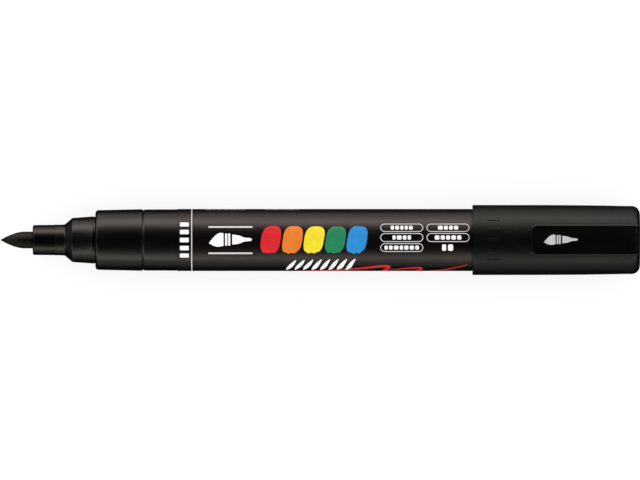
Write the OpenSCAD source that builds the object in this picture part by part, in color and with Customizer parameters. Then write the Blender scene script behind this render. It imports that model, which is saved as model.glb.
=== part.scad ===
// Valve-action brush pen with its clip cap posted on the tail, drawn as separate pieces.
// Every piece is built standing on its own axis: z is the station, the distance in
// millimetres from the point of the brush, and -y is the side that the clip is on.
// in_frame() then lays the pen along +X with its clip up and the origin at the middle
// of the printed grip.

/* [Overall] */
// Outside diameter of the cap at its mouth
cap_d = 16; // [15.9:0.1:16.6]
// Outside diameter of the barrel over its printed film
grip_d = 14.2; // [14.1:0.05:14.25]
// Station of the cap's mouth while the cap is posted on the tail
cap_mouth_s = 107.85; // [107.65:0.05:110]

/* [Brush tip] */
// Diameter of the brush's shank
nib_d = 3.85; // [3.5:0.05:3.85]
// Length of brush that stands out of the nozzle
nib_out = 7.45; // [7.1:0.05:7.6]
// Length of the pointed end
nib_taper_l = 5.4; // [4:0.05:6]
// Whole length of the brush
nib_l = 22; // [20:0.5:22]
// How full the pointed end is: 1 is a cone, 2 is a parabola
nib_fullness = 1.52; // [1:0.01:2]
// How far the brush can be pushed in to open the valve
nib_travel = 2; // [1:0.1:2]

/* [Nose] */
// Diameter of the nozzle sleeve at its front edge
nozzle_d = 6.83; // [6.7:0.01:6.9]
// Length of the nozzle sleeve
nozzle_l = 5.05; // [5:0.05:5.3]
// Diameter at the front of the sealing land
land_front_d = 10.1; // [10:0.05:10.2]
// Diameter at the back of the sealing land
land_back_d = 10.72; // [10.6:0.02:10.8]
// Diameter at the front of the collar
collar_front_d = 13.62; // [13.4:0.02:13.7]
// Diameter at the back of the collar
collar_back_d = 14.06; // [13.9:0.02:14.1]
// Radius of the collar's front edge
collar_edge_r = 0.7; // [0.4:0.1:0.9]

/* [Barrel] */
// Inside diameter of the barrel
bore_d = 12; // [11.9:0.05:12.1]
// Thickness of the printed film, which lies in a shallow panel
film_t = 0.16; // [0.16:0.01:0.2]
// How far the film stands out of its panel
film_rise = 0.1; // [0.05:0.01:0.1]
// Diameter of the mixing ball
ball_d = 7; // [4:0.5:7]

/* [Valve] */
// Diameter of the spring's wire
wire_d = 0.44; // [0.3:0.02:0.5]
// Mean diameter of the spring
spring_d = 4.2; // [4.1:0.05:4.3]
// Turns of the spring
spring_turns = 7; // [5:1:8]

/* [Cap] */
// Length of the cap
cap_l = 38.2; // [38:0.1:40]
// How much smaller in radius the cap is at its closed end
cap_waist = 0.225; // [0:0.025:0.3]
// Radius of the cap's closed end edge
cap_edge_r = 1.83; // [1:0.01:2]
// Thickness of the cap's end wall
cap_end_t = 1.2; // [1:0.1:1.4]
// Depth of the sealing liner's rim below the cap's mouth
liner_depth = 13.2; // [13.1:0.05:13.3]

/* [Clip] */
// Width of the clip
clip_w = 7.15; // [5:0.05:8]
// Length of the clip that springs free
clip_arm_l = 20.15; // [16:0.05:22]
// Thickness of the clip
clip_t = 1.1; // [0.9:0.05:1.3]
// Height of the gap between the clip and the cap
clip_gap = 1.15; // [0.8:0.05:1.5]

/* [Hidden] */

$fn = 96;
play = 0.02;          // gap between fixed pieces that are pushed together
run = 0.07;           // gap round a piece that slides
cut = 1;              // how far a cutting shape runs past what it cuts

// Colours
ink_black = [0.03, 0.03, 0.03];
shell_black = [0.10, 0.10, 0.09];
film_black = [0.13, 0.11, 0.11];
natural = [0.88, 0.88, 0.84];
wick_white = [0.92, 0.91, 0.87];
seal_grey = [0.35, 0.36, 0.38];
steel = [0.72, 0.73, 0.75];

// Radii
nib_r = nib_d / 2;
nozzle_r = nozzle_d / 2;
bore_r = bore_d / 2;
grip_r = grip_d / 2;
barrel_r = grip_r - film_rise;
panel_r = grip_r - film_t;
spigot_r = bore_r - 0.03;
cap_r = cap_d / 2;

// Stations along the nose, from the front
nose_s = nib_out + nozzle_l;      // where the sleeve meets the nose
cone_s = nose_s + 2.25;           // start of the cone
land_s = cone_s + 1.75;           // start of the sealing land
land_l = 4.8;                     // length of the sealing land
shoulder_s = land_s + land_l + 0.45;
seam_s = shoulder_s + 10.9;       // visible joint between the nose and the barrel
spigot_end_s = seam_s + 9.3;      // back of the spigot inside the barrel
carrier_s = land_s + 0.45;        // front of the chamber that the nib carrier slides in
carrier_l = 10.2;
carrier_gap = 0.1;                // gap in front of the nib carrier at rest

// Stations along the valve
housing_s = carrier_s + carrier_l + nib_travel + 0.4;
seat_s = housing_s + 1.5;
seat_t = 1.4;
head_s = seat_s + 1.8;            // widest part of the stem's head
head_t = 0.6;
head_r = 2.85;
spring_s = head_s + head_t;
gasket_t = 0.8;
housing_end_s = spigot_end_s + gasket_t + 1;
retainer_t = 1.5;
retainer_s = housing_end_s - 0.1 - retainer_t;
stem_end_s = housing_end_s - 0.4;
housing_r = 5.15;
cage_r = 4.4;
guide_r = 1.3;

// Stations along the barrel and its tail
film_s = seam_s + 7.85;
film_end_s = cap_mouth_s - 0.1;
flange_s = cap_mouth_s + liner_depth - 0.1;  // back of the plug's flange, where the liner stops
flange_t = 0.6;
barrel_end_s = flange_s - flange_t;
plug_s = barrel_end_s - 9;
tail_l = 15.4;
tail_r = 5;

// Stations along the posted cap
cap_end_s = cap_mouth_s + cap_l;
liner_s = cap_mouth_s + liner_depth;
mouth_r = 7.2;                    // inside of the cap round the barrel
socket_r = 6.9;                   // inside of the cap round the liner
socket_back_r = 6.7;
liner_t = 0.65;
clip_y = -(cap_r + clip_gap);     // the clip's underside
clip_end_edge = 0.94;             // radius of the edge where the clip meets the cap's end
clip_tip_s = cap_end_s - clip_arm_l - 5;
clip_root_s = clip_tip_s + clip_arm_l;

// The frame's origin, at the middle of the film that shows
origin_s = (film_s + cap_mouth_s) / 2;

// Lays what is built along z down along +X, with its -y side turned up to +Z
module in_frame() {
    translate([-origin_s, 0, 0]) rotate([-90, 0, 0]) rotate([0, 90, 0]) children();
}

// A ring or a rod turned from an outline of [radius, station] points
module turned(outline) {
    rotate_extrude() polygon(outline);
}

// Points on an arc about [r, s], from one angle to another
function arc(centre, radius, from, to, steps = 6) =
    [for (i = [0:steps]) let (a = from + (to - from) * i / steps)
        centre + radius * [cos(a), sin(a)]];

// Copies of a child round the axis
module around(count, first = 0) {
    for (i = [0:count - 1]) rotate([0, 0, first + 360 * i / count]) children();
}

// Outline of the brush's pointed end, from the point to full width
function nib_point(steps = 14) =
    [for (i = [0:steps]) let (u = i / steps)
        [nib_r * (1 - pow(1 - u, nib_fullness)), nib_taper_l * u]];

module brush_nib() {
    chamfer = 0.3;
    color(ink_black) in_frame()
        turned(concat(nib_point(),
                      [[nib_r, nib_l - chamfer], [nib_r - chamfer, nib_l], [0, nib_l]]));
}

module nozzle_sleeve() {
    lip_r = nib_r + run;
    lip_l = 1.2;
    socket = 2.8 + play;
    edge = 0.38;
    back_r = nozzle_r + 0.055;
    slot_w = 0.5;
    slot_d = 0.35;
    color(shell_black) in_frame() difference() {
        turned(concat([[lip_r, nib_out + 0.15], [lip_r + 0.15, nib_out]],
                      arc([nozzle_r - edge, nib_out + edge], edge, -90, 0),
                      [[back_r, nose_s], [socket, nose_s],
                       [socket, nib_out + lip_l], [lip_r, nib_out + lip_l]]));
        // air comes back in through slots beside the brush
        around(4, 45) translate([lip_r - 0.2, -slot_w / 2, nib_out - cut])
            cube([slot_d + 0.2, slot_w, lip_l + 2 * cut]);
    }
}

module front_nose() {
    front_spigot_r = 2.8;
    front_spigot_s = nib_out + 1.3;
    guide = 2.1;
    chamber_r = 4;
    bead_r = bore_r + 0.08;
    neck_r = nozzle_r + 0.1;
    edge_s = shoulder_s + collar_edge_r;
    land_front = land_front_d / 2;
    land_back = land_back_d / 2;
    collar_front = collar_front_d / 2;
    collar_back = collar_back_d / 2;
    color(shell_black) in_frame() turned(concat(
        [[guide, front_spigot_s], [front_spigot_r, front_spigot_s],
         [front_spigot_r, nose_s],
         // witness ring beside the sleeve
         [neck_r + 0.02, nose_s], [neck_r + 0.02, nose_s + 0.3],
         [neck_r - 0.03, nose_s + 0.36], [neck_r, cone_s - 0.35],
         [neck_r + 0.08, cone_s],
         [land_front - 0.1, land_s - 0.1], [land_front, land_s + 0.05],
         [land_back, land_s + land_l - 0.3], [land_back + 0.03, land_s + land_l - 0.25],
         [land_back + 0.03, land_s + land_l],
         [land_back - 0.05, land_s + land_l], [land_back - 0.05, shoulder_s]],
        arc([collar_front - collar_edge_r, edge_s], collar_edge_r, -90, 0),
        [[collar_back, seam_s - 0.3], [collar_back - 0.2, seam_s - 0.05],
         [spigot_r, seam_s - 0.05],
         // snap bead that holds the spigot in the barrel
         [spigot_r, seam_s + 1.8], [bead_r, seam_s + 2], [bead_r, seam_s + 2.2],
         [spigot_r, seam_s + 2.5],
         [spigot_r, spigot_end_s - 0.5], [spigot_r - 0.25, spigot_end_s],
         [housing_r + 0.05, spigot_end_s], [housing_r + 0.05, housing_s - 0.1],
         [chamber_r, housing_s - 0.1], [chamber_r, carrier_s], [guide, carrier_s]]));
}

module nib_carrier() {
    outer = 3.9;
    bore = nib_r + 0.015;
    front = carrier_s + carrier_gap;
    back = front + carrier_l;
    floor_t = 1;
    edge = 0.4;
    groove_r = 0.7;
    color(natural) in_frame() difference() {
        turned([[bore, front], [outer - edge, front], [outer, front + edge],
                [outer, back - edge], [outer - edge, back], [0.8, back],
                [0.8, back - floor_t], [bore, back - floor_t]]);
        // channels that let the paint past
        around(6, 30) translate([outer + 0.2, 0, front - cut])
            cylinder(r = groove_r, h = carrier_l + 2 * cut);
    }
}

module relay_wick() {
    front = nib_l + 0.05;
    back = carrier_s + carrier_gap + carrier_l - 1.05;
    color(wick_white) in_frame()
        translate([0, 0, front]) cylinder(r = nib_r, h = back - front);
}

module valve_stem() {
    pin_s = carrier_s + carrier_gap + carrier_l + 0.1;
    pin_r = 1.2;
    rib_t = 0.7;
    neck_s = head_s - (head_r - pin_r);
    register_r = 1.55;
    color(natural) in_frame() {
        // ribbed pin in front of the seat, so that paint runs along it
        for (a = [0, 90]) rotate([0, 0, a]) intersection() {
            translate([-pin_r, -rib_t / 2, pin_s]) cube([2 * pin_r, rib_t, neck_s + 0.2 - pin_s]);
            translate([0, 0, pin_s]) cylinder(r = pin_r, h = neck_s + 0.2 - pin_s);
        }
        turned([[0, neck_s], [pin_r, neck_s], [head_r, head_s], [head_r, spring_s],
                [register_r, spring_s], [register_r, spring_s + 0.8],
                [guide_r, spring_s + 1], [guide_r, stem_end_s - 0.3],
                [guide_r - 0.3, stem_end_s], [0, stem_end_s]]);
    }
}

module valve_seat() {
    hole = 1.7;
    // the seat's cone lies parallel to the head's, a hair away
    cone_end_r = head_r + 0.05 - (head_s - seat_s - seat_t);
    color(seal_grey) in_frame()
        turned([[hole, seat_s], [cage_r - play, seat_s], [cage_r - play, seat_s + seat_t],
                [cone_end_r, seat_s + seat_t],
                [hole, seat_s + seat_t - (cone_end_r - hole)]]);
}

// Height of the spring's wire after a number of turns, closed up at both ends
function spring_height(turn) =
    let (low = spring_s + wire_d / 2 + play, high = retainer_s - wire_d / 2 - play,
         dead = wire_d * 1.08, rise = high - low - 2 * dead)
    turn < 1 ? low + dead * turn
    : turn > spring_turns - 1 ? high - dead * (spring_turns - turn)
    : low + dead + rise * (turn - 1) / (spring_turns - 2);

module valve_spring() {
    steps = 20;
    sides = 6;
    rings = spring_turns * steps;
    points = [for (i = [0:rings], k = [0:sides - 1])
        let (a = 360 * i / steps, b = 360 * k / sides,
             r = spring_d / 2 + wire_d / 2 * cos(b))
        [r * cos(a), r * sin(a), spring_height(i / steps) + wire_d / 2 * sin(b)]];
    tube = [for (i = [0:rings - 1], k = [0:sides - 1]) let (n = (k + 1) % sides)
        [i * sides + k, i * sides + n, (i + 1) * sides + n, (i + 1) * sides + k]];
    front_end = [for (k = [sides - 1:-1:0]) k];
    back_end = [for (k = [0:sides - 1]) rings * sides + k];
    quads = concat(tube, [front_end, back_end]);
    // each wall of the tube is bent, so it is given as two triangles
    color(steel) in_frame() polyhedron(points = points, faces =
        [for (q = quads) each len(q) == 4
            ? [[q[0], q[2], q[1]], [q[0], q[3], q[2]]]
            : [for (k = [1:len(q) - 2]) [q[0], q[k + 1], q[k]]]]);
}

module valve_housing() {
    flange_r = bore_r - 0.1;
    pin_hole = 1.6;
    flange_front = spigot_end_s + gasket_t;
    color(natural) in_frame()
        turned([[pin_hole, housing_s], [housing_r - 0.3, housing_s],
                [housing_r, housing_s + 0.3], [housing_r, flange_front],
                [flange_r, flange_front], [flange_r, housing_end_s],
                [cage_r, housing_end_s], [cage_r, seat_s], [pin_hole, seat_s]]);
}

module housing_gasket() {
    color(seal_grey) in_frame() translate([0, 0, spigot_end_s + play / 2]) difference() {
        cylinder(r = bore_r - 0.05, h = gasket_t - play);
        translate([0, 0, -cut]) cylinder(r = housing_r + play, h = gasket_t + 2 * cut);
    }
}

module spring_retainer() {
    window_r = 0.75;
    window_at = 2.95;
    color(natural) in_frame() translate([0, 0, retainer_s]) difference() {
        cylinder(r = cage_r - play, h = retainer_t);
        translate([0, 0, -cut]) cylinder(r = guide_r + 0.05, h = retainer_t + 2 * cut);
        // windows that let the paint into the valve
        around(6) translate([window_at, 0, -cut])
            cylinder(r = window_r, h = retainer_t + 2 * cut);
    }
}

module barrel_tube() {
    front_r = barrel_r - 0.03;
    draft = 0.04;
    groove_r = bore_r + 0.12;
    nose_groove_s = seam_s + 1.7;
    plug_groove_s = barrel_end_s - 4.7;
    color(shell_black) in_frame()
        turned([[bore_r, seam_s + 0.15], [bore_r + 0.15, seam_s],
                [front_r - 0.13, seam_s], [front_r, seam_s + 0.35],
                [barrel_r, film_s - play], [panel_r, film_s - play],
                // panel that the printed film lies in
                [panel_r, film_end_s + play], [barrel_r, film_end_s + play],
                [barrel_r - draft, barrel_end_s - 0.25],
                [barrel_r - draft - 0.2, barrel_end_s],
                [bore_r + 0.15, barrel_end_s], [bore_r, barrel_end_s - 0.15],
                // groove for the tail plug's bead
                [bore_r, plug_groove_s + 1.1], [groove_r, plug_groove_s + 0.9],
                [groove_r, plug_groove_s + 0.2], [bore_r, plug_groove_s],
                // groove for the nose's bead
                [bore_r, nose_groove_s + 1.1], [groove_r, nose_groove_s + 0.9],
                [groove_r, nose_groove_s + 0.2], [bore_r, nose_groove_s]]);
}

module printed_film() {
    color(film_black) in_frame() translate([0, 0, film_s]) difference() {
        cylinder(r = grip_r, h = film_end_s - film_s);
        translate([0, 0, -cut]) cylinder(r = panel_r, h = film_end_s - film_s + 2 * cut);
    }
}

module mixing_ball() {
    ball_r = ball_d / 2;
    stem_reach = stem_end_s + nib_travel;
    color(steel) in_frame()
        translate([0, bore_r - ball_r - play, stem_reach + ball_r - 0.2]) sphere(r = ball_r);
}

module tail_plug() {
    flange_r = barrel_r - 0.1;
    bead_r = bore_r + 0.08;
    bead_s = barrel_end_s - 4.3;
    hollow_front_r = 4.3;
    hollow_back_r = 4.1;
    wall_end = flange_s + tail_l;
    edge = 0.8;
    end_r = tail_r - 0.12;
    color(shell_black) in_frame() turned(concat(
        [[hollow_front_r, plug_s], [spigot_r - 0.3, plug_s], [spigot_r, plug_s + 0.5],
         [spigot_r, bead_s - 0.3], [bead_r, bead_s], [bead_r, bead_s + 0.2],
         [spigot_r, bead_s + 0.4], [spigot_r, barrel_end_s],
         [flange_r, barrel_end_s], [flange_r, flange_s - 0.15], [flange_r - 0.15, flange_s],
         // the tail has the same sealing land as the nose, so the liner grips both
         [land_back_d / 2, flange_s], [land_front_d / 2, flange_s + land_l],
         [tail_r, flange_s + land_l + 0.2]],
        arc([end_r - edge, wall_end - edge], edge, 0, 90),
        [[0, wall_end], [0, wall_end - 1.3], [hollow_back_r, wall_end - 1.3]]));
}

// The cap's outer radius at a share of its length, straight at first and drawn in at the end
function cap_outer(u) = cap_r - cap_waist * pow(u, 4);

module cap_wall() {
    steps = 10;
    taper_l = cap_l - cap_edge_r;
    inner_end = cap_end_s - cap_end_t;
    edge_r = cap_outer(1) - cap_edge_r;
    step_s = liner_s - 0.1;
    difference() {
        turned(concat([[0, cap_mouth_s]],
                      [for (i = [0:steps])
                          [cap_outer(i / steps), cap_mouth_s + taper_l * i / steps]],
                      arc([edge_r, cap_end_s - cap_edge_r], cap_edge_r, 0, 90),
                      [[0, cap_end_s]]));
        turned([[0, cap_mouth_s - cut], [mouth_r + 0.3, cap_mouth_s - cut],
                [mouth_r + 0.3, cap_mouth_s], [mouth_r, cap_mouth_s + 0.4],
                [mouth_r, step_s], [socket_r, step_s],
                [socket_back_r, inner_end - 1], [socket_back_r - 1, inner_end],
                [0, inner_end]]);
    }
}

// Ribs that grip the barrel at the mouth, and ribs that hold the liner further in
module cap_ribs() {
    grip_rib_r = barrel_r + run;
    grip_s = cap_mouth_s + 2;
    liner_rib_r = 6.16;
    liner_rib_s = liner_s + 0.85;
    rib_w = 0.7;
    around(8, 22.5) {
        translate([grip_rib_r, -rib_w / 2, grip_s])
            cube([mouth_r + 0.3 - grip_rib_r, rib_w, liner_s - 0.6 - grip_s]);
        translate([liner_rib_r, -rib_w / 2, liner_rib_s])
            cube([socket_r + 0.3 - liner_rib_r, rib_w, cap_end_s - cap_end_t + 0.3 - liner_rib_s]);
    }
}

// Short raised bars near the mouth, felt with a thumb
module cap_marks() {
    mark_s = cap_mouth_s + 3.4;
    mark_l = 2.9;
    mark_w = 0.55;
    for (i = [-2:2]) rotate([0, 0, 18 * i])
        translate([-mark_w / 2, -(cap_r + 0.09), mark_s]) cube([mark_w, 0.6, mark_l]);
}

// Solid block that the clip springs from
module clip_root() {
    top = clip_y - clip_t;
    difference() {
        translate([-clip_w / 2, 0, 0]) rotate([90, 0, 90]) linear_extrude(clip_w)
            polygon(concat([[clip_y + 2.4, clip_root_s], [top, clip_root_s]],
                           [for (p = arc([-(top + clip_end_edge), cap_end_s - clip_end_edge],
                                         clip_end_edge, 0, 90)) [-p[0], p[1]]],
                           [[clip_y + 2.4, cap_end_s]]));
        // keeps the block out of the liner's socket
        translate([0, 0, clip_root_s - cut]) cylinder(r = socket_r + 0.2, h = 20 + cut);
    }
}

module cap_shell() {
    color(shell_black) in_frame() {
        cap_wall();
        cap_ribs();
        cap_marks();
        clip_root();
    }
}

module cap_clip() {
    top = clip_y - clip_t;
    corner = 1.35;
    bead_r = 0.6;
    bead_s = clip_tip_s + 1.9;
    color(shell_black) in_frame() intersection() {
        // seen from the side
        translate([-clip_w / 2, 0, 0]) rotate([90, 0, 90]) linear_extrude(clip_w)
            polygon(concat([[top, clip_root_s], [top, clip_tip_s + 0.3],
                            [top + 0.3, clip_tip_s], [clip_y - 0.3, clip_tip_s],
                            [clip_y, clip_tip_s + 0.5], [clip_y, bead_s - bead_r]],
                           [for (p = arc([0, bead_s], bead_r, -90, 90)) [clip_y + p[0], p[1]]],
                           [[clip_y, clip_root_s]]));
        // seen from the front, with its two free corners rounded
        rotate([90, 0, 0]) translate([0, 0, -clip_y - 2]) linear_extrude(clip_t + 4)
            polygon(concat([[-clip_w / 2, clip_root_s]],
                           arc([-clip_w / 2 + corner, clip_tip_s + corner], corner, 180, 270),
                           arc([clip_w / 2 - corner, clip_tip_s + corner], corner, 270, 360),
                           [[clip_w / 2, clip_root_s]]));
    }
}

module cap_liner() {
    gap = 0.07;
    rim_r = land_back_d / 2 + gap;
    land_end_r = land_front_d / 2 + gap;
    land_end_s = liner_s + land_l;
    throat_s = cap_mouth_s + 30;
    throat_r = tail_r;
    end_s = cap_end_s - cap_end_t - 0.2;
    flange_r = socket_r - 0.04;
    dome = 3;
    color(natural) in_frame() turned(concat(
        [[rim_r + 0.12, liner_s], [flange_r, liner_s], [flange_r, liner_s + 0.8],
         [rim_r + liner_t, liner_s + 0.8], [land_end_r + liner_t, land_end_s]],
        arc([throat_r + liner_t - dome, end_s - dome], dome, 0, 90),
        [[0, end_s], [0, end_s - liner_t]],
        arc([throat_r + liner_t - dome, end_s - dome], dome - liner_t, 90, 0),
        [[throat_r, throat_s], [land_end_r, land_end_s], [rim_r, liner_s + 0.15]]));
}

brush_nib();
nozzle_sleeve();
front_nose();
nib_carrier();
relay_wick();
valve_stem();
valve_seat();
valve_spring();
valve_housing();
housing_gasket();
spring_retainer();
barrel_tube();
printed_film();
mixing_ball();
tail_plug();
cap_shell();
cap_clip();
cap_liner();
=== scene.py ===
import math
import random

import bmesh
import bpy
from mathutils import Matrix, Vector, noise
from mathutils.geometry import delaunay_2d_cdt
from mathutils.kdtree import KDTree


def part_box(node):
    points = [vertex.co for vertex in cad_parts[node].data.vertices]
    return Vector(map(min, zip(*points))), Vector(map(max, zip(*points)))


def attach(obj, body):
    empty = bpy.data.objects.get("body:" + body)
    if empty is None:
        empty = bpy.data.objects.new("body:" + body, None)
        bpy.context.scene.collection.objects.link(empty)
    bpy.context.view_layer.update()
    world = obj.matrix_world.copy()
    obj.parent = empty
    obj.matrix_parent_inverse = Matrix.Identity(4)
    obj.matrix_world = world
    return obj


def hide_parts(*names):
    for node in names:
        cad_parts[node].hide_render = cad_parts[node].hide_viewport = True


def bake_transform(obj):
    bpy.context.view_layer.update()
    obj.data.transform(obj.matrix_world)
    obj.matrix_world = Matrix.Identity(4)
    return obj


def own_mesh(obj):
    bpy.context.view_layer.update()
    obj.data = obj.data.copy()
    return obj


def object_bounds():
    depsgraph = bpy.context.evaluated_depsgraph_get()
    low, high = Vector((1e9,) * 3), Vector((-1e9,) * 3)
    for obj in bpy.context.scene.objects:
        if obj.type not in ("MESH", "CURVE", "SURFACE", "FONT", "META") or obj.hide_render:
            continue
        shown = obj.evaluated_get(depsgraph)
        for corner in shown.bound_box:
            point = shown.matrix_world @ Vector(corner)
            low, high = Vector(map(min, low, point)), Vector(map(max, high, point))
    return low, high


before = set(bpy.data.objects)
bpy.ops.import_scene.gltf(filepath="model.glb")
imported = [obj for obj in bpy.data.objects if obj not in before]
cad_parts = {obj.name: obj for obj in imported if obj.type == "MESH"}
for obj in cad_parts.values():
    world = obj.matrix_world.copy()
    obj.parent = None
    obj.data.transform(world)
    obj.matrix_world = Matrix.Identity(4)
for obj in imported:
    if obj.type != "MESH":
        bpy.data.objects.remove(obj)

cad_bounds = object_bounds()

# The frame: +X runs from the brush to the cap's closed end, +Z is the way the clip and
# the print face. Sizes and places below are in millimetres until a mesh is made.
MM = 0.001
SIDES = 192                   # facets round a turned piece
ARC_STEPS = 5                 # facets round a rounded edge
FILM_T = 0.16                 # thickness of the printed film
HAIR = 0.005                  # kept inside the CAD piece, so that no facet stands proud of it
SHARP = math.radians(32)      # edges that turn more than this are drawn sharp


def span(node):
    """First and last station of a CAD node along X, in mm."""
    low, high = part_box(node)
    return low.x / MM, high.x / MM


def reach(node):
    """How far a CAD node reaches from the axis along Y, in mm."""
    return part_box(node)[1].y / MM


nozzle_front, nozzle_back = span("nozzle_sleeve")
seam, barrel_back = span("barrel_tube")
film_front, film_back = span("printed_film")
cap_mouth, cap_end = span("cap_shell")
cap_end -= 0.003
clip_tip, clip_root = span("cap_clip")
nib_point, nib_back = span("brush_nib")
carrier_front = span("nib_carrier")[0]
housing_front = span("valve_housing")[0]
gasket_front = span("housing_gasket")[0]
spring_front, spring_back = span("valve_spring")
plug_front, plug_back = span("tail_plug")
liner_front, liner_back = span("cap_liner")

nib_r = reach("brush_nib")
nozzle_r = reach("nozzle_sleeve")
collar_r = reach("front_nose")
barrel_r = reach("barrel_tube")
film_r = reach("printed_film")
cap_r = reach("cap_shell") - 0.004
spring_r = reach("valve_spring")
clip_half_w = reach("cap_clip")
clip_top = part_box("cap_clip")[1].z / MM
clip_under = clip_top - 1.1


# ---------------------------------------------------------------- meshes

def new_piece(name, bm):
    """Turns a bmesh in mm into a smooth-shaded object in metres."""
    bmesh.ops.scale(bm, vec=(MM, MM, MM), verts=bm.verts)
    mesh = bpy.data.meshes.new(name)
    bm.to_mesh(mesh)
    bm.free()
    for polygon in mesh.polygons:
        polygon.use_smooth = True
    mesh.set_sharp_from_angle(angle=SHARP)
    piece = bpy.data.objects.new(name, mesh)
    bpy.context.scene.collection.objects.link(piece)
    return piece


def rounded(corners):
    """Outline points from (station, radius, edge rounding) corners, each rounding made an arc."""
    points = []
    for i, (x, r, size) in enumerate(corners):
        here = Vector((x, r))
        if size <= 0:
            points.append(here)
            continue
        before = Vector(corners[i - 1][:2]) - here
        after = Vector(corners[(i + 1) % len(corners)][:2]) - here
        half = before.angle(after) / 2
        run = min(size / math.tan(half), 0.499 * before.length, 0.499 * after.length)
        size = run * math.tan(half)
        bisector = (before.normalized() + after.normalized()).normalized()
        centre = here + bisector * (size / math.sin(half))
        start = here + before.normalized() * run - centre
        end = here + after.normalized() * run - centre
        turn = start.angle_signed(end)
        first = math.atan2(start.y, start.x)
        for k in range(ARC_STEPS + 1):
            angle = first - turn * k / ARC_STEPS
            points.append(centre + size * Vector((math.cos(angle), math.sin(angle))))
    return points


def turn_into(bm, points, sides=SIDES, shape=None):
    """Adds a closed solid turned about the X axis to bm. shape(x, angle, r) may change r."""
    rings = []
    for x, r in points:
        if r < 1e-5:
            rings.append([bm.verts.new((x, 0, 0))])
            continue
        ring = []
        for k in range(sides):
            angle = 2 * math.pi * k / sides
            here = shape(x, angle, r) if shape else r
            ring.append(bm.verts.new((x, here * math.sin(angle), here * math.cos(angle))))
        rings.append(ring)
    made = []
    for a, b in zip(rings, rings[1:] + rings[:1]):
        for k in range(sides):
            n = (k + 1) % sides
            corners = [a[k % len(a)], a[n % len(a)], b[n % len(b)], b[k % len(b)]]
            corners = [v for i, v in enumerate(corners) if v not in corners[:i]]
            if len(corners) > 2:
                made.append(bm.faces.new(corners))
    bmesh.ops.recalc_face_normals(bm, faces=made)


def lathe(name, corners, sides=SIDES, shape=None):
    """A piece turned about the X axis from its rounded outline."""
    bm = bmesh.new()
    turn_into(bm, rounded(corners), sides, shape)
    return new_piece(name, bm)


def block_into(bm, low, high, edge, turn=0.0):
    """Adds a box with rounded edges to bm, turned about the X axis."""
    made = bmesh.ops.create_cube(bm, size=1)["verts"]
    size = [h - l for l, h in zip(low, high)]
    centre = Vector([(h + l) / 2 for l, h in zip(low, high)])
    bmesh.ops.scale(bm, vec=size, verts=made)
    bmesh.ops.translate(bm, vec=centre, verts=made)
    edges = list({e for v in made for e in v.link_edges})
    made = bmesh.ops.bevel(bm, geom=edges, offset=edge, segments=3, affect="EDGES",
                           profile=0.5)["verts"]
    faces = {f for v in made for f in v.link_faces}
    verts = list(set(made) | {v for f in faces for v in f.verts})
    bmesh.ops.rotate(bm, cent=(0, 0, 0), matrix=Matrix.Rotation(turn, 3, "X"), verts=verts)


# ---------------------------------------------------------------- materials

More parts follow.
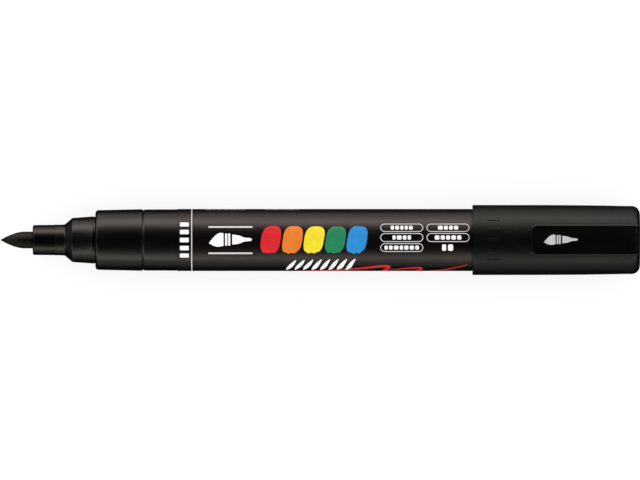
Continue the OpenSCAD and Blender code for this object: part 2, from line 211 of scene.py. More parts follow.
class Shader:
    """A Principled material with short ways to add procedural detail."""

    def __init__(self, name, colour, roughness, **values):
        self.material = bpy.data.materials.new(name)
        self.material.use_nodes = True
        self.nodes = self.material.node_tree.nodes
        self.links = self.material.node_tree.links
        self.bsdf = self.nodes["Principled BSDF"]
        self.coords = self.add("ShaderNodeTexCoord").outputs["Object"]
        self.bsdf.inputs["Base Color"].default_value = (*colour, 1)
        self.bsdf.inputs["Roughness"].default_value = roughness
        for key, value in values.items():
            self.bsdf.inputs[key.replace("_", " ")].default_value = value

    def add(self, kind, **settings):
        made = self.nodes.new(kind)
        for key, value in settings.items():
            setattr(made, key, value)
        return made

    def speckle(self, size, detail=3.0, stretch=(1, 1, 1), contrast=(0.3, 0.7)):
        """A 0 to 1 noise whose features are size mm across, drawn out by stretch along X, Y, Z."""
        mapping = self.add("ShaderNodeMapping")
        mapping.inputs["Scale"].default_value = [1 / s for s in stretch]
        self.links.new(self.coords, mapping.inputs["Vector"])
        texture = self.add("ShaderNodeTexNoise")
        texture.inputs["Scale"].default_value = 1 / (size * MM)
        texture.inputs["Detail"].default_value = detail
        self.links.new(mapping.outputs["Vector"], texture.inputs["Vector"])
        spread = self.add("ShaderNodeMapRange", clamp=True)
        spread.inputs["From Min"].default_value = contrast[0]
        spread.inputs["From Max"].default_value = contrast[1]
        self.links.new(texture.outputs["Fac"], spread.inputs["Value"])
        return spread.outputs["Result"]

    def edge_wear_and_highlight(self, low=0.52, high=0.62):
        """1 on outer edges and 0 elsewhere: the mask for edge wear and a painted edge highlight.
        """
        geometry = self.add("ShaderNodeNewGeometry")
        spread = self.add("ShaderNodeMapRange", clamp=True)
        spread.inputs["From Min"].default_value = low
        spread.inputs["From Max"].default_value = high
        self.links.new(geometry.outputs["Pointiness"], spread.inputs["Value"])
        return spread.outputs["Result"]

    def between(self, factor, low, high):
        """low where factor is 0 and high where it is 1."""
        spread = self.add("ShaderNodeMapRange", clamp=True)
        spread.inputs["To Min"].default_value = low
        spread.inputs["To Max"].default_value = high
        self.links.new(factor, spread.inputs["Value"])
        return spread.outputs["Result"]

    def product(self, a, b):
        made = self.add("ShaderNodeMath", operation="MULTIPLY")
        self.links.new(a, made.inputs[0])
        self.links.new(b, made.inputs[1])
        return made.outputs[0]

    def tint(self, factor, colour):
        """Mixes colour over the base colour where factor is 1."""
        mix = self.add("ShaderNodeMix", data_type="RGBA")
        base = self.bsdf.inputs["Base Color"]
        if base.is_linked:
            self.links.new(base.links[0].from_socket, mix.inputs[6])
        else:
            mix.inputs[6].default_value = base.default_value
        mix.inputs[7].default_value = (*colour, 1)
        self.links.new(factor, mix.inputs[0])
        self.links.new(mix.outputs[2], base)
        return self

    def rough(self, factor, low, high):
        self.links.new(self.between(factor, low, high), self.bsdf.inputs["Roughness"])
        return self

    def bump(self, factor, depth, strength=1.0):
        """Raises the surface by depth mm where factor is 1."""
        made = self.add("ShaderNodeBump")
        made.inputs["Strength"].default_value = strength
        made.inputs["Distance"].default_value = depth * MM
        self.links.new(factor, made.inputs["Height"])
        normal = self.bsdf.inputs["Normal"]
        if normal.is_linked:
            self.links.new(normal.links[0].from_socket, made.inputs["Normal"])
        self.links.new(made.outputs["Normal"], normal)
        return self


def moulded(name, colour, sheen_low, sheen_high, grain_depth, **values):
    """Injection-moulded plastic: fine grain, slow flow marks in the gloss, and faint rub marks on
    the outer edges, lightened partly as wear and partly as a painted edge highlight.
    """
    s = Shader(name, colour, sheen_low, **values)
    flow = s.speckle(3.5, detail=2, stretch=(3, 1, 1))
    grain = s.speckle(0.09, detail=2)
    rub_and_edge_highlight = s.speckle(0.5, detail=4, stretch=(0.25, 3, 3), contrast=(0.6, 0.75))
    s.rough(flow, sheen_low, sheen_high)
    s.tint(s.product(flow, grain), [min(1, c * 1.5 + 0.0003) for c in colour])
    # outer edges lightened in the colour: partly rub wear, partly a painted edge highlight
    s.tint(s.product(rub_and_edge_highlight, s.edge_wear_and_highlight()), [c + 0.008 for c in colour])
    s.bump(grain, grain_depth, 0.5)
    s.bump(s.speckle(1.6, detail=1, stretch=(2, 1, 1)), 0.004, 0.4)
    return s.material


def printed(name, colour, roughness=0.34):
    """Opaque ink under the film's gloss, a little uneven where it was laid down."""
    s = Shader(name, colour, roughness, Specular_Tint=FILM_TINT)
    s.tint(s.speckle(0.12, detail=3), [c * 0.86 for c in colour])
    s.tint(s.speckle(1.3, detail=2), [min(1, c * 1.06) for c in colour])
    s.rough(s.speckle(0.4, detail=2), roughness - 0.03, roughness + 0.05)
    s.bump(s.speckle(0.1, detail=2), 0.002, 0.4)
    return s.material


FILM_TINT = (1.0, 0.86, 0.87, 1)
BLACK = (0.0004, 0.0004, 0.0003)

nozzle_black = moulded("nozzle_black", BLACK, 0.26, 0.30, 0.003, Specular_IOR_Level=0.42)
nose_black = moulded("nose_black", BLACK, 0.30, 0.35, 0.004)
barrel_black = moulded("barrel_black", BLACK, 0.31, 0.36, 0.004)
cap_black = moulded("cap_black", (0.0006, 0.0007, 0.0004), 0.39, 0.45, 0.007,
                    Specular_IOR_Level=0.33, Specular_Tint=(0.96, 1, 0.96, 1))
clip_black = moulded("clip_black", BLACK, 0.30, 0.36, 0.004)


def make_film():
    """A clear gloss over the dark print, with fine specks and the slow pull of shrunk film."""
    s = Shader("film_print", (0.0005, 0.0004, 0.0004), 0.36, Specular_IOR_Level=0.54,
               Specular_Tint=FILM_TINT)
    s.tint(s.speckle(0.07, detail=2, contrast=(0.45, 0.75)), (0.0017, 0.0013, 0.0013))
    s.rough(s.speckle(2.5, detail=3, stretch=(4, 1, 1)), 0.33, 0.39)
    s.bump(s.speckle(2.2, detail=1, stretch=(5, 1, 1)), 0.006, 0.5)
    s.bump(s.speckle(0.12, detail=2), 0.002, 0.4)
    return s.material


def make_fibre(name, dark, light, roughness, depth, **values):
    """A bundle of straight fibres along X."""
    s = Shader(name, dark, roughness, **values)
    strands = s.speckle(0.07, detail=3, stretch=(45, 1, 1), contrast=(0.35, 0.65))
    matted = s.speckle(0.35, detail=4, stretch=(4, 1, 1))
    s.tint(s.product(strands, matted), light)
    s.rough(matted, roughness - 0.08, roughness + 0.1)
    s.bump(strands, depth, 0.8)
    return s.material


def make_metal(name, colour, low, high, stretch):
    """Drawn or polished steel, with fine lines."""
    s = Shader(name, colour, low, Metallic=1.0)
    lines = s.speckle(0.05, detail=3, stretch=stretch)
    s.rough(lines, low, high)
    s.tint(s.speckle(0.8, detail=3), [c * 0.82 for c in colour])
    s.bump(lines, 0.0015, 0.5)
    return s.material


film_print = make_film()
brush_black = make_fibre("brush_black", (0.0007, 0.0006, 0.0005), (0.003, 0.0027, 0.0023),
                         0.4, 0.012, Specular_IOR_Level=0.26)
wick_white = make_fibre("wick_white", (0.78, 0.76, 0.7), (0.9, 0.89, 0.85), 0.75, 0.02)
natural = moulded("natural_plastic", (0.78, 0.78, 0.73), 0.36, 0.46, 0.006,
                  Subsurface_Weight=0.25, Subsurface_Scale=0.0015)
rubber = moulded("seal_rubber", (0.035, 0.036, 0.04), 0.62, 0.75, 0.012)
spring_steel = make_metal("spring_steel", (0.62, 0.62, 0.63), 0.2, 0.34, (1, 12, 12))
ball_steel = make_metal("ball_steel", (0.75, 0.75, 0.76), 0.06, 0.14, (1, 1, 1))

ink_white = printed("ink_white", (0.92, 0.91, 0.9))
ink_line = printed("ink_line", (0.64, 0.62, 0.61))
ink_grey = printed("ink_grey", (0.3, 0.29, 0.29))
ink_silver = printed("ink_silver", (0.5, 0.5, 0.5))
ink_dark = printed("ink_dark", (0.0006, 0.0005, 0.0005))


def dress(piece, material, body, slot, *nodes):
    """Gives a piece its material and body, and hides the CAD nodes that it stands for. The slot
    argument is not used.
    """
    piece.data.materials.clear()
    piece.data.materials.append(material)
    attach(piece, body)
    if nodes:
        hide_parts(*nodes)
    return piece


# ---------------------------------------------------------------- brush and nose

def make_brush():
    """A pointed bundle of fibres: fine flutes that wander a little and close up at the point."""
    taper = 5.4
    fullness = 1.68       # 1 is a cone, 2 is a parabola
    steps = 44
    straight = 24
    chamfer = 0.3
    strands = 62
    outline = []
    for i in range(steps + 1):
        u = (i / steps) ** 1.35
        outline.append((nib_point + HAIR + taper * u, nib_r * (1 - (1 - u) ** fullness), 0))
    shank = nib_back - nib_point - taper - chamfer
    for i in range(1, straight + 1):
        outline.append((nib_point + taper + shank * i / straight, nib_r, 0))
    outline += [(nib_back, nib_r - chamfer, 0), (nib_back, 0, 0)]

    def fibres(x, angle, r):
        drift = 0.5 * noise.noise(Vector((x * 0.18, math.sin(angle), math.cos(angle))))
        flute = abs(math.sin((angle + drift * 0.12) * strands / 2))
        tuft = noise.noise(Vector((x * 0.5, 3 * math.sin(angle), 3 * math.cos(angle))))
        depth = min(1.0, r / 0.6)
        return r - depth * (0.022 * (1 - flute) + 0.014 * (0.5 + 0.5 * tuft))

    return lathe("brush_tip", outline, sides=372, shape=fibres)


dress(make_brush(), brush_black, "brush_unit", "brush_fibre", "brush_nib")

lip_r = nib_r + 0.07      # the hole that the brush comes out of
lip_l = 1.2
sleeve_bore_r = 2.82
sleeve = lathe("nozzle", [
    (nozzle_front, lip_r, 0.06),
    (nozzle_front, nozzle_r - 0.055, 0.42),
    (nozzle_back, nozzle_r, 0.03),
    (nozzle_back, sleeve_bore_r, 0),
    (nozzle_front + lip_l, sleeve_bore_r, 0),
    (nozzle_front + lip_l, lip_r, 0),
])
dress(sleeve, nozzle_black, "pen", "black_plastic", "nozzle_sleeve")

neck_r = nozzle_r + 0.045
neck_front = nozzle_back + 0.02
cone_x = nozzle_back + 2.25
land_x = cone_x + 1.75
land_l = 4.8              # the slightly tapered land that the cap's liner closes on
land_end = land_x + land_l
shoulder_x = land_end + 0.45
land_front_r = 5.05
land_back_r = 5.36
collar_front_r = collar_r - 0.22
tongue_front = nozzle_front + 1.3
tongue_r = 2.8            # the tube that the nozzle sleeve is pressed on
carrier_bore_r = 2.1
housing_bore_r = 4
gasket_bore_r = 5.2
spigot_r = 5.97           # what is pressed into the barrel, at either end of it
nose = lathe("nose", [
    (tongue_front, carrier_bore_r, 0),
    (tongue_front, tongue_r, 0.1),
    (neck_front, tongue_r, 0),
    (neck_front, neck_r + 0.02, 0.02),
    (nozzle_back + 0.3, neck_r + 0.02, 0.03),
    (nozzle_back + 0.36, neck_r - 0.03, 0.02),
    (cone_x, neck_r + 0.04, 0.7),
    (land_x, land_front_r, 0.35),
    (land_end - 0.3, land_back_r, 0),
    (land_end - 0.25, land_back_r + 0.03, 0.02),
    (land_end, land_back_r + 0.03, 0.03),
    (land_end + 0.04, land_back_r - 0.05, 0.02),
    (shoulder_x, land_back_r - 0.05, 0.08),
    (shoulder_x, collar_front_r, 0.72),
    (seam - 0.28, collar_r, 0.1),
    (seam - 0.05, collar_r - 0.2, 0.03),
    (seam - 0.05, spigot_r, 0),
    (gasket_front - 0.5, spigot_r, 0.1),
    (gasket_front, spigot_r - 0.25, 0.05),
    (gasket_front, gasket_bore_r, 0),
    (housing_front - 0.1, gasket_bore_r, 0),
    (housing_front - 0.1, housing_bore_r, 0),
    (carrier_front - 0.1, housing_bore_r, 0),
    (carrier_front - 0.1, carrier_bore_r, 0),
])
dress(nose, nose_black, "pen", "black_plastic", "front_nose")


# ---------------------------------------------------------------- barrel and tail

bore_r = 6
panel_r = film_r - FILM_T
barrel = lathe("barrel", [
    (seam, bore_r, 0.12),
    (seam, barrel_r - 0.16, 0.05),
    (seam + 0.33, barrel_r - 0.03, 0.12),
    (film_front - 0.02, barrel_r, 0.02),
    (film_front - 0.02, panel_r, 0),
    (film_back + 0.02, panel_r, 0),
    (film_back + 0.02, barrel_r, 0.02),
    (barrel_back - 0.25, barrel_r - 0.04, 0.1),
    (barrel_back, barrel_r - 0.24, 0.05),
    (barrel_back, bore_r, 0.12),
])
dress(barrel, barrel_black, "pen", "black_plastic", "barrel_tube")


def make_film_piece():
    """The film is wrapped once round, so its last edge laps over its first underneath."""
    skin_r = film_r - 0.012
    lap = 0.9 / film_r

    def wrapped(x, angle, r):
        behind = math.pi - lap < angle < math.pi
        return r + 0.006 if behind and r > skin_r - 0.05 else r

    return lathe("film", [
        (film_front, panel_r, 0),
        (film_front, skin_r, 0.04),
        (film_back, skin_r, 0.04),
        (film_back, panel_r, 0),
    ], sides=256, shape=wrapped)


dress(make_film_piece(), film_print, "pen", "film_print", "printed_film")

flange_back = liner_front - 0.1
flange_r = barrel_r - 0.1
mark_x = plug_back - 0.12     # a shallow round moulding mark in the tail's end
tail_wall = 1.3
tail = lathe("tail", [
    (plug_front, 4.3, 0.1),
    (plug_front, spigot_r - 0.3, 0.05),
    (plug_front + 0.5, spigot_r, 0.1),
    (barrel_back, spigot_r, 0),
    (barrel_back, flange_r, 0.03),
    (flange_back, flange_r, 0.14),
    (flange_back, land_back_r, 0.06),
    (flange_back + land_l, land_front_r, 0.3),
    (flange_back + 5, 5, 0.3),
    (plug_back, 4.88, 0.85),
    (plug_back, 2.2, 0.05),
    (mark_x, 2.1, 0.05),
    (mark_x, 0, 0),
    (plug_back - tail_wall, 0, 0),
    (plug_back - tail_wall, 4.1, 0.3),
])
dress(tail, nose_black, "pen", "black_plastic", "tail_plug")


# ---------------------------------------------------------------- cap

def make_cap():
    """The shell with the ribs that hold its liner, and the raised bars by its mouth."""
    wall_in = 7.2         # inside radius at the mouth
    socket_r = 6.9        # inside radius behind the step
    end_wall = 1.2
    waist = 0.225         # how much slimmer the cap is at its closed end
    steps = 9
    edge = 1.83
    taper = cap_end - cap_mouth - 2 * edge
    outer = [(cap_mouth, cap_r, 0.05)]
    for i in range(1, steps + 1):
        u = i / steps
        outer.append((cap_mouth + taper * u, cap_r - waist * u ** 4, 0))
    outer += [
        (cap_end, cap_r - waist, edge),
        # the moulding's gate leaves a small dimple in the middle of the end
        (cap_end, 1.1, 0.05),
        (cap_end - 0.12, 0.95, 0.05),
        (cap_end - 0.12, 0, 0),
    ]
    step = liner_front - 0.1
    inner = [
        (cap_end - end_wall, 0, 0),
        (cap_end - end_wall, 5.7, 0.3),
        (cap_end - end_wall - 1, 6.7, 0.3),
        (step, socket_r, 0),
        (step, wall_in, 0.05),
        (cap_mouth + 0.4, wall_in, 0.2),
        (cap_mouth, wall_in + 0.3, 0.04),
    ]
    bm = bmesh.new()
    turn_into(bm, rounded(outer + inner), 256)
    half_w = 0.35
    rib_edge = 0.1
    for k in range(8):
        turn = math.radians(22.5 + 45 * k)
        block_into(bm, (cap_mouth + 2, -half_w, 7.07), (step - 0.5, half_w, 7.4), rib_edge, turn)
        block_into(bm, (liner_front + 0.85, -half_w, 6.16),
                   (cap_end - end_wall + 0.2, half_w, 7.0), rib_edge, turn)
    for k in range(-2, 3):
        block_into(bm, (cap_mouth + 3.4, -0.36, cap_r - 0.4),
                   (cap_mouth + 6.1, 0.36, cap_r + 0.12), 0.08, math.radians(18 * k))
    return new_piece("cap", bm)


dress(make_cap(), cap_black, "cap", "black_plastic", "cap_shell")


def make_clip():
    """A flat arm with a bead under its tip, lofted along X, and a root that runs into the cap."""
    end = cap_end - 0.35
    sunk = 6.98           # the root's underside, inside the cap's wall
    top = clip_top - 0.012
    plan_r = 1.6          # rounding of the tip's corners, seen from above
    edge = 0.45           # rounding of the long upper edges
    end_r = 0.95          # rounding of the root's outer end
    heel = 1.1            # rounding between the arm's underside and the root
    bead_x = clip_tip + 1.9
    bead_r = 0.6
    chamfer = 0.12
    spread = 0.12         # spacing of the outline's points across the tip, where it is straight

    def arc_rise(run, r):
        """Height of a quarter circle of radius r at a distance run from its foot."""
        run = min(max(run, 0), r)
        return math.sqrt(r * r - (r - run) ** 2)

    corner_y = clip_half_w - plan_r

    def section(x, bottom):
        ahead = max(clip_tip + plan_r - x, 0)
        half = corner_y + math.sqrt(max(plan_r ** 2 - ahead ** 2, 0))
        rim = top - edge - end_r + arc_rise(end - x, end_r)
        ring = [(-half + chamfer, bottom), (half - chamfer, bottom), (half, bottom + chamfer)]
        for k in range(7):
            inset = edge * (1 - math.cos(math.radians(15 * k)))
            level_line = (plan_r - inset) ** 2 - ahead ** 2
            y = corner_y + (math.sqrt(level_line) if level_line > 0 else -spread * k)
            to_edge = plan_r - math.hypot(ahead, max(y - corner_y, 0))
            ring.append((y, rim + arc_rise(to_edge, edge)))
        ring += [(-y, z) for y, z in ring[:1:-1]]
        return [(x, y, z) for y, z in ring]

    stations = [clip_tip + plan_r * (1 - math.cos(math.radians(9 * k))) for k in range(11)]
    stations += [bead_x + bead_r * math.sin(math.radians(15 * k)) for k in range(-6, 7)]
    stations += [clip_root - heel + heel * math.sin(math.radians(15 * k)) for k in range(7)]
    stations += [end - end_r * (1 - math.sin(math.radians(15 * k))) for k in range(7)]
    step = 0.5
    arm = end - end_r - clip_tip - plan_r
    stations += [clip_tip + plan_r + step * k for k in range(1, int(arm / step))]
    bm = bmesh.new()
    rings = []
    for x in sorted({round(x, 2) for x in stations}):
        bottom = clip_under
        if abs(x - bead_x) < bead_r:
            bottom -= math.sqrt(bead_r ** 2 - (x - bead_x) ** 2)
        bottom -= heel - arc_rise(clip_root - x, heel)
        if x > clip_root + 0.01:
            bottom = sunk
        rings.append([bm.verts.new(p) for p in section(x, bottom)])
    for a, b in zip(rings, rings[1:]):
        for k in range(len(a)):
            n = (k + 1) % len(a)
            bm.faces.new([a[k], a[n], b[n], b[k]])
    for ring in (rings[0], rings[-1]):
        centre = bm.verts.new(sum((v.co for v in ring), Vector()) / len(ring))
        for k in range(len(ring)):
            bm.faces.new([ring[k - 1], ring[k], centre])
    bmesh.ops.recalc_face_normals(bm, faces=bm.faces[:])
    return new_piece("clip", bm)


clip = make_clip()
clip.data.materials.append(clip_black)
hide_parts("cap_clip")
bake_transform(clip)

gap = 0.07                # between the liner and the land that it closes on
wall = 0.65
throat = cap_mouth + 30
liner = lathe("liner", [
    (liner_front, land_back_r + gap + 0.12, 0.04),
    (liner_front, 6.86, 0.08),
    (liner_front + 0.8, 6.86, 0.08),
    (liner_front + 0.8, land_back_r + gap + wall, 0.1),
    (liner_front + land_l, land_front_r + gap + wall, 0.5),
    (liner_back, 5 + wall, 3),
    (liner_back, 0, 0),
    (liner_back - wall, 0, 0),
    (liner_back - wall, 5, 2.35),
    (throat, 5, 0.3),
    (liner_front + land_l, land_front_r + gap, 0.3),
    (liner_front + 0.15, land_back_r + gap, 0.05),
])
dress(liner, natural, "cap", "natural_plastic", "cap_liner")


# ---------------------------------------------------------------- inside

def make_spring():
    """The valve's coil spring, closed up and ground flat at both ends."""
    turns = 7
    wire = 0.22
    coil = spring_r - wire
    dead = wire * 2.1
    low = spring_front + wire
    high = spring_back - wire
    steps = 48
    around = 14
    bm = bmesh.new()
    rings = []
    for i in range(turns * steps + 1):
        turn = i / steps
        if turn < 1:
            x = low + dead * turn
        elif turn > turns - 1:
            x = high - dead * (turns - turn)
        else:
            x = low + dead + (high - low - 2 * dead) * (turn - 1) / (turns - 2)
        a = 2 * math.pi * turn
        ring = []
        for k in range(around):
            b = 2 * math.pi * k / around
            r = coil + wire * math.cos(b)
            at = min(max(x + wire * math.sin(b), spring_front + 0.02), spring_back - 0.02)
            ring.append(bm.verts.new((at, r * math.sin(a), r * math.cos(a))))
        rings.append(ring)
    for a, b in zip(rings, rings[1:]):
        for k in range(around):
            n = (k + 1) % around
            bm.faces.new([a[k], a[n], b[n], b[k]])
    bm.faces.new(rings[0][::-1])
    bm.faces.new(rings[-1])
    bmesh.ops.recalc_face_normals(bm, faces=bm.faces[:])
    return new_piece("spring", bm)


spring = dress(make_spring(), spring_steel, "pen", "spring_steel", "valve_spring")
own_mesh(spring)

INSIDE = {
    "nib_carrier": natural, "valve_stem": natural, "valve_housing": natural,
    "spring_retainer": natural, "relay_wick": wick_white, "valve_seat": rubber,
    "housing_gasket": rubber, "mixing_ball": ball_steel,
}
for node, material in INSIDE.items():
    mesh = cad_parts[node].data
    mesh.materials.clear()
    mesh.materials.append(material)


# ---------------------------------------------------------------- print

PRINT_R = film_r - 0.004
INK_T = 0.012         # thickness of a layer of ink
FACET = 0.28          # widest flat stretch of print round the barrel
SPECK = 0.001         # points of a print closer than this become one


def bar(x0, x1, v0, v1, corner, steps=6):
    """Outline of a rounded bar on the unrolled film: x along the pen, v round it from the top."""
    corner = min(corner, (x1 - x0) / 2.001, (v1 - v0) / 2.001)
    points = []
    for cx, cv, first in ((x1 - corner, v1 - corner, 0), (x0 + corner, v1 - corner, 90),
                          (x0 + corner, v0 + corner, 180), (x1 - corner, v0 + corner, 270)):
        for k in range(steps + 1):
            a = math.radians(first + 90 * k / steps)
            points.append((cx + corner * math.cos(a), cv + corner * math.sin(a)))
    return points


def circle(x, v, r, steps):
    angles = [2 * math.pi * k / steps for k in range(steps)]
    return [(x + r * math.cos(a), v + r * math.sin(a)) for a in angles]


def curve_through(points, steps=14):
    """A smooth line through the points (Catmull-Rom)."""
    ends = [points[0]] + list(points) + [points[-1]]
    made = []
    for i in range(1, len(ends) - 2):
        p0, p1, p2, p3 = [Vector(p) for p in ends[i - 1:i + 3]]
        for k in range(steps):
            t = k / steps
            made.append(0.5 * (2 * p1 + (p2 - p0) * t + (2 * p0 - 5 * p1 + 4 * p2 - p3) * t * t
                               + (3 * p1 - p0 - 3 * p2 + p3) * t ** 3))
    made.append(Vector(points[-1]))
    return made


class Print:
    """Flat shapes in one ink, which may overlap, laid on the film as one thin closed piece."""

    def __init__(self):
        self.points = []
        self.shapes = []

    def fill(self, outline):
        """Adds one shape, wound anticlockwise."""
        area = sum(a[0] * b[1] - b[0] * a[1] for a, b in zip(outline, outline[1:] + outline[:1]))
        first = len(self.points)
        self.points += [Vector(p) for p in (outline if area > 0 else outline[::-1])]
        self.shapes.append(list(range(first, len(self.points))))
        return self

    def frame(self, outer, inner):
        """Adds the band between two outlines with the same number of points."""
        for i in range(len(outer)):
            n = (i + 1) % len(outer)
            self.fill([outer[i], outer[n], inner[n], inner[i]])
        return self

    def stroke(self, points, widths):
        """Adds a brush line through (x, v) points, with a width at each."""
        line = curve_through([(x, v, w) for (x, v), w in zip(points, widths)])
        edges = []
        for i, p in enumerate(line):
            along = line[min(i + 1, len(line) - 1)] - line[max(i - 1, 0)]
            across = Vector((-along.y, along.x)).normalized() * max(p.z, 0.03) / 2
            edges.append(((p.x + across.x, p.y + across.y), (p.x - across.x, p.y - across.y)))
        for a, b in zip(edges, edges[1:]):
            self.fill([a[0], b[0], b[1]])
            self.fill([a[0], b[1], a[1]])
        for p in line[::3]:
            if p.z > 0.1:
                self.fill(circle(p.x, p.y, p.z / 2, 14))
        return self

    def flat_faces(self, wrap):
        """Joins the shapes in the plane and, for the film, slits them into strips along X."""
        slits = []
        points = list(self.points)
        if wrap:
            left = min(p.x for p in points) - 1
            right = max(p.x for p in points) + 1
            low = math.floor(min(p.y for p in points) / FACET)
            high = math.ceil(max(p.y for p in points) / FACET)
            for k in range(low, high + 1):
                slits.append((len(points), len(points) + 1))
                points += [Vector((left, k * FACET)), Vector((right, k * FACET))]
        joined = delaunay_2d_cdt(points, slits, self.shapes, 0, 1e-5)
        points = joined[0]
        # near points become one, so that no sliver of a face is left
        tree = KDTree(len(points))
        for i, p in enumerate(points):
            tree.insert((p.x, p.y, 0), i)
        tree.balance()
        same = []
        for i, p in enumerate(points):
            nearest = min(found[1] for found in tree.find_range((p.x, p.y, 0), SPECK))
            same.append(same[nearest] if nearest < i else i)
        faces = [[same[i] for i in face] for face, source in zip(joined[2], joined[5]) if source]
        return points, [face for face in faces if len(set(face)) == len(face)]

    def lay(self, name, material, wrap=True, level=0.0, body="pen"):
        """Makes the piece: wrapped round the film, or flat at a level above the axis."""
        points, faces = self.flat_faces(wrap)
        bm = bmesh.new()
        layers = []
        for depth in (0, INK_T):
            layer = {}
            for i in sorted({i for face in faces for i in face}):
                x, v = points[i]
                if wrap:
                    r = PRINT_R + level - depth
                    a = v / film_r
                    layer[i] = bm.verts.new((x, r * math.sin(a), r * math.cos(a)))
                else:
                    layer[i] = bm.verts.new((x, v, level - depth))
            layers.append(layer)
        top, low = layers
        sides = {(face[k - 1], face[k]) for face in faces for k in range(len(face))}
        for face in faces:
            bm.faces.new([top[i] for i in face])
            bm.faces.new([low[i] for i in reversed(face)])
        for a, b in sorted(sides):
            if (b, a) not in sides:
                bm.faces.new([top[b], top[a], low[a], low[b]])
        dress(new_piece(name, bm), material, body, "film_print")


def brush_mark(ink, x, v, length, height):
    """A plain pictogram of a paintbrush, lying along X with its bristles to the left."""
    h = height / 2

    def along(points):
        """Points of a smooth line, from shares of the mark's length and half height."""
        line = curve_through([(x + u * length, v + w * h) for u, w in points], 6)
        return [(p.x, p.y) for p in line]

    bristles = along([(0, -0.5), (0.06, -0.02), (0.16, 0.62), (0.26, 0.93), (0.34, 0.86)])
    under = along([(0.34, -0.86), (0.22, -1), (0.1, -0.86)])
    ink.fill(bristles + under)
    for k in range(2):
        x0 = x + (0.375 + 0.07 * k) * length
        ink.fill(bar(x0, x0 + 0.05 * length, v - 0.84 * h, v + 0.84 * h, 0.03 * height))
    top = along([(0.54, 0.7), (0.7, 0.56), (0.82, 0.28), (0.96, 0.2), (1, 0)])
    low = [(px, 2 * v - pv) for px, pv in reversed(top)]
    ink.fill(top + low[1:])


def greek(ink, rng, x0, x1, v, height, letters, steps=3):
    """A line of small plain blocks that stands for a word: each is a little wider or narrower."""
    shares = [rng.uniform(0.75, 1.25) for _ in range(letters)]
    gap = 0.3 * height
    room = x1 - x0 - gap * (letters - 1)
    x = x0
    for share in shares:
        w = room * share / sum(shares)
        ink.fill(bar(x, x + w, v - height / 2, v + height / 2, min(w, height) * 0.28, steps))
        x += w + gap


def fine_line(ink, rng, x0, x1, v, height):
    """A line of greeked fine print."""
    x = x0
    while x < x1 - height:
        w = min(rng.uniform(1, 4.5) * height, x1 - x)
        ink.fill(bar(x, x + w, v - height / 2, v + height / 2, height * 0.25, 2))
        x += w + height * 0.6


rng = random.Random(7)
white = Print()
outlines = Print()
fine = Print()

# five plain dashes by the film's front edge, across the pen
dash_x = film_front + 0.6
dash_l = 2.02
dash_w = 1.04
dash_pitch = 1.86
for k in range(-2, 3):
    v = dash_pitch * k
    white.fill(bar(dash_x, dash_x + dash_l, v - dash_w / 2, v + dash_w / 2, 0.16))

# two long lines with a pictogram between them
badge_x = film_front + 7.1
badge_l = 10.05
line_w = 0.41
for v in (3.07, -3.13):
    outlines.fill(bar(badge_x, badge_x + badge_l, v - line_w / 2, v + line_w / 2, 0.03))
brush_mark(white, badge_x + 0.1, 0.1, badge_l - 0.2, 3.3)

# a row of quick slanted brush strokes under the dabs, each thick in the middle
for k in range(8):
    x = film_front + 24.9 + 1.93 * k
    low = -8.9 + 0.2 * rng.uniform(-1, 1)
    high = -5.1 + 0.05 * k
    white.stroke([(x, low), (x + 0.6, low + 1.3), (x + 1.35, high - 1.2), (x + 2.1, high)],
                 [0.25, 0.9 + rng.uniform(0, 0.25), 0.85, 0.25])

# name panels: outlined pills with greeked words in them
PILL_W = 9.8
PILL_H = 2.03
LINE = 0.17
columns = (film_front + 46.25, film_front + 56.8)
rows = (2.9, 0.57, -1.76)
for column, row, share, letters in ((0, 0, 0.51, 5), (0, 1, 0.43, 4), (0, 2, 0.8, 7),
                                    (1, 0, 0.47, 4), (1, 1, 0.62, 5)):
    x0 = columns[column]
    v0 = rows[row] - PILL_H / 2
    x1 = x0 + PILL_W
    v1 = v0 + PILL_H
    outlines.frame(bar(x0, x1, v0, v1, PILL_H / 2),
                   bar(x0 + LINE, x1 - LINE, v0 + LINE, v1 - LINE, PILL_H / 2 - LINE))
    middle = x0 + PILL_W / 2
    half = PILL_W * share / 2
    greek(white, rng, middle - half, middle + half, rows[row], 0.96, letters)

# two larger plain blocks in the last place
sign_x = columns[1] + PILL_W / 2
greek(white, rng, sign_x - 1.35, sign_x + 1.15, rows[2], 1.5, 2)

# greeked fine print over the top edge and on the back
for v, spans in ((9.6, ((6.3, 15.5), (20, 28.2))), (10.5, ((6.3, 14.6), (20, 27.3)))):
    for x0, x1 in spans:
        fine_line(fine, rng, film_front + x0, film_front + x1, v, 0.42)
for x0, shortest, longest, lines in ((8, 30, 36, 7), (48, 9, 13, 5)):
    x0 += film_front
    for k in range(lines):
        fine_line(fine, rng, x0, x0 + rng.uniform(shortest, longest), 14.2 + 1.15 * k, 0.5)

white.lay("print_white", ink_white)
outlines.lay("print_outlines", ink_line)
fine.lay("print_fine", ink_grey)


def ring_piece(name, x, width, level, material):
    """A line of ink all the way round the film."""
    bm = bmesh.new()
    low = film_r - 0.03
    high = PRINT_R + level
    x0 = x - width / 2
    x1 = x + width / 2
    turn_into(bm, [(x0, low), (x0, high), (x1, high), (x1, low)], 256)
    dress(new_piece(name, bm), material, "pen", "film_print")


ring_piece("print_ring_white", film_front + 3.28, 0.23, 0, ink_line)
ring_piece("print_ring_dark", film_front + 3.6, 0.3, -0.001, ink_dark)


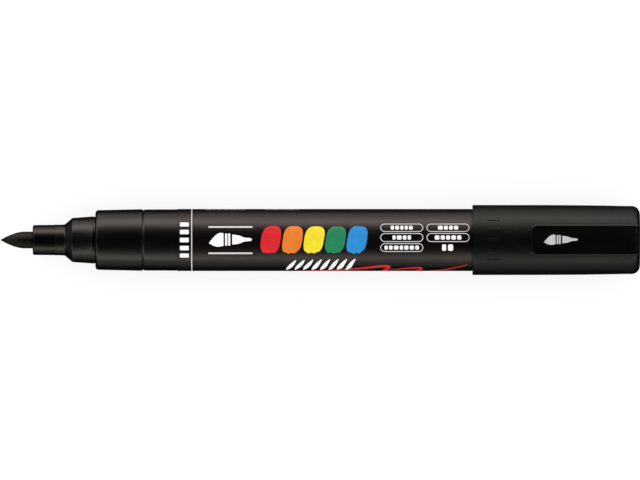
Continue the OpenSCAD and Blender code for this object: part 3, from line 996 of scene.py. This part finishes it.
def dab(centre, seed):
    """Outline of one pull of a flat brush, leaning a little, with a ragged lower end."""
    w, h, lean, ends = 4.5, 6.5, 0.15, 3.0
    outline = []
    for i in range(96):
        a = 2 * math.pi * i / 96
        c, s = math.cos(a), math.sin(a)
        square = (abs(c) ** ends + abs(s) ** ends) ** (-1 / ends)
        x = w / 2 * square * c
        v = h / 2 * square * s
        wobble = noise.noise(Vector((1.5 * c, 1.5 * s, 5.3 * seed)))
        if s < -0.2:
            # bristle tracks
            v += 0.34 * abs(math.sin(2.4 * x + seed)) * (-s - 0.2)
        outline.append((centre + x * (1 + 0.05 * wobble) + lean * v, v * (1 + 0.04 * wobble)))
    return outline


# a row of five dabs of paint
DAB_INKS = (
    ("red", (0.69, 0.002, 0.008)),
    ("orange", (0.79, 0.19, 0.004)),
    ("yellow", (0.87, 0.70, 0.006)),
    ("green", (0.002, 0.228, 0.09)),
    ("blue", (0.002, 0.246, 0.62)),
)
dab_x = film_front + 18.9
dab_pitch = 4.9
for k, (name, colour) in enumerate(DAB_INKS):
    ink = Print().fill(dab(dab_x + dab_pitch * (k + 0.5), k))
    ink.lay("print_" + name, printed("ink_" + name, colour))

# a loose red stroke along the lower edge, in three pulls
red = Print()
for points, widths in (
    (((25.5, -10.8), (32, -9.9), (38, -9.0), (43.0, -7.95),
      (46.6, -7.15), (48.2, -7.35), (47.5, -8.8), (46.5, -10.6)),
     (0.25, 0.8, 0.95, 0.95, 0.9, 0.85, 0.85, 0.5)),
    (((47.2, -9.6), (50.8, -8.5), (53.9, -7.95), (55.5, -8.05), (55.2, -9.3), (54.4, -10.8)),
     (0.3, 0.6, 0.75, 0.8, 0.75, 0.5)),
    (((56.2, -10.8), (59.7, -9.4), (63.2, -7.9), (66.1, -6.6)),
     (0.25, 0.5, 0.42, 0.12)),
):
    red.stroke([(film_front + x, v) for x, v in points], widths)
red.lay("print_stroke", printed("ink_stroke", (0.62, 0.008, 0.014)))

badge = Print()
brush_mark(badge, clip_tip + 3.1, 0.1, 7.75, 2.4)
badge.lay("clip_mark", ink_silver, wrap=False, level=clip_top - 0.004, body="clip")


# ---------------------------------------------------------------- stage

def softbox(name, place, size, radiance, tint):
    """A panel of a given radiance that faces the pen and is seen only in its gloss."""
    light = bpy.data.lights.new(name, "AREA")
    light.shape = "RECTANGLE"
    light.size, light.size_y = size
    light.energy = radiance * math.pi * size[0] * size[1]
    light.color = tint
    made = bpy.data.objects.new(name, light)
    bpy.context.scene.collection.objects.link(made)
    made.location = place
    made.rotation_euler = (-Vector(place)).to_track_quat("-Z", "X").to_euler()
    made.visible_camera = False
    made.visible_diffuse = False


def at(side, elevation, distance):
    """A place beside the pen: side is 1 or -1 along Y, elevation is in degrees."""
    a = math.radians(elevation)
    return (0, side * distance * math.cos(a), distance * math.sin(a))


WARM = (1, 0.91, 0.83)
NEUTRAL = (1, 1, 0.88)
# a tall soft panel each side, with a brighter one in front of it
softbox("key_wide", at(1, 9, 0.72), (1.0, 1.9), 0.95, WARM)
softbox("key_core", at(1, 18, 0.7), (0.36, 1.9), 2.0, WARM)
softbox("fill_wide", at(-1, 12, 0.72), (0.94, 1.9), 0.36, NEUTRAL)
softbox("fill_core", at(-1, 20, 0.7), (0.27, 1.9), 1.4, NEUTRAL)
# smaller ones off each corner, which only slanting views pick up
for end in (-1, 1):
    for side in (-1, 1):
        softbox("corner_soft", (0.58 * end, 0.36 * side, 0.3), (0.3, 0.42), 1.3, NEUTRAL)


def make_world():
    """An even white room: full strength to the eye and to matt surfaces, almost dark in gloss."""
    world = bpy.data.worlds.new("studio")
    world.use_nodes = True
    nodes, links = world.node_tree.nodes, world.node_tree.links
    nodes.clear()
    path = nodes.new("ShaderNodeLightPath")
    room = nodes.new("ShaderNodeBackground")
    dark = nodes.new("ShaderNodeBackground")
    mix = nodes.new("ShaderNodeMixShader")
    out = nodes.new("ShaderNodeOutputWorld")
    room.inputs["Color"].default_value = (1, 1, 1, 1)
    room.inputs["Strength"].default_value = 1.15
    dark.inputs["Color"].default_value = (0.005, 0.005, 0.005, 1)
    links.new(path.outputs["Is Glossy Ray"], mix.inputs[0])
    links.new(room.outputs[0], mix.inputs[1])
    links.new(dark.outputs[0], mix.inputs[2])
    links.new(mix.outputs[0], out.inputs["Surface"])
    bpy.context.scene.world = world


def make_floor():
    """A pale floor that shows a faint contact shadow and throws nothing into the pen's gloss."""
    bm = bmesh.new()
    bmesh.ops.create_grid(bm, x_segments=1, y_segments=1, size=12)
    mesh = bpy.data.meshes.new("floor")
    bm.to_mesh(mesh)
    bm.free()
    floor = bpy.data.objects.new("floor", mesh)
    bpy.context.scene.collection.objects.link(floor)
    clear = 0.02 * MM
    floor.location = (0, 0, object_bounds()[0].z - clear)
    floor.visible_glossy = False
    floor.visible_diffuse = False
    floor.visible_shadow = False
    material = bpy.data.materials.new("pale_floor")
    material.use_nodes = True
    material.cycles.emission_sampling = "NONE"
    surface = material.node_tree.nodes["Principled BSDF"]
    surface.inputs["Base Color"].default_value = (0.28, 0.28, 0.28, 1)
    surface.inputs["Roughness"].default_value = 1
    surface.inputs["Specular IOR Level"].default_value = 0
    surface.inputs["Emission Color"].default_value = (1, 1, 1, 1)
    surface.inputs["Emission Strength"].default_value = 0.75
    mesh.materials.append(material)


def make_camera():
    """Straight above the pen, far enough off that it looks square on."""
    lens = 800
    view_w = 146.14 * MM      # the pen from end to end, with hardly any margin
    data = bpy.data.cameras.new("camera")
    data.lens = lens
    data.clip_end = 100
    camera = bpy.data.objects.new("camera", data)
    bpy.context.scene.collection.objects.link(camera)
    centre_x = (cad_bounds[0].x + cad_bounds[1].x) / 2
    camera.location = (centre_x, 0, view_w * lens / data.sensor_width)
    bpy.context.scene.camera = camera


make_world()
make_floor()
make_camera()
bpy.context.scene.view_settings.view_transform = "Standard"
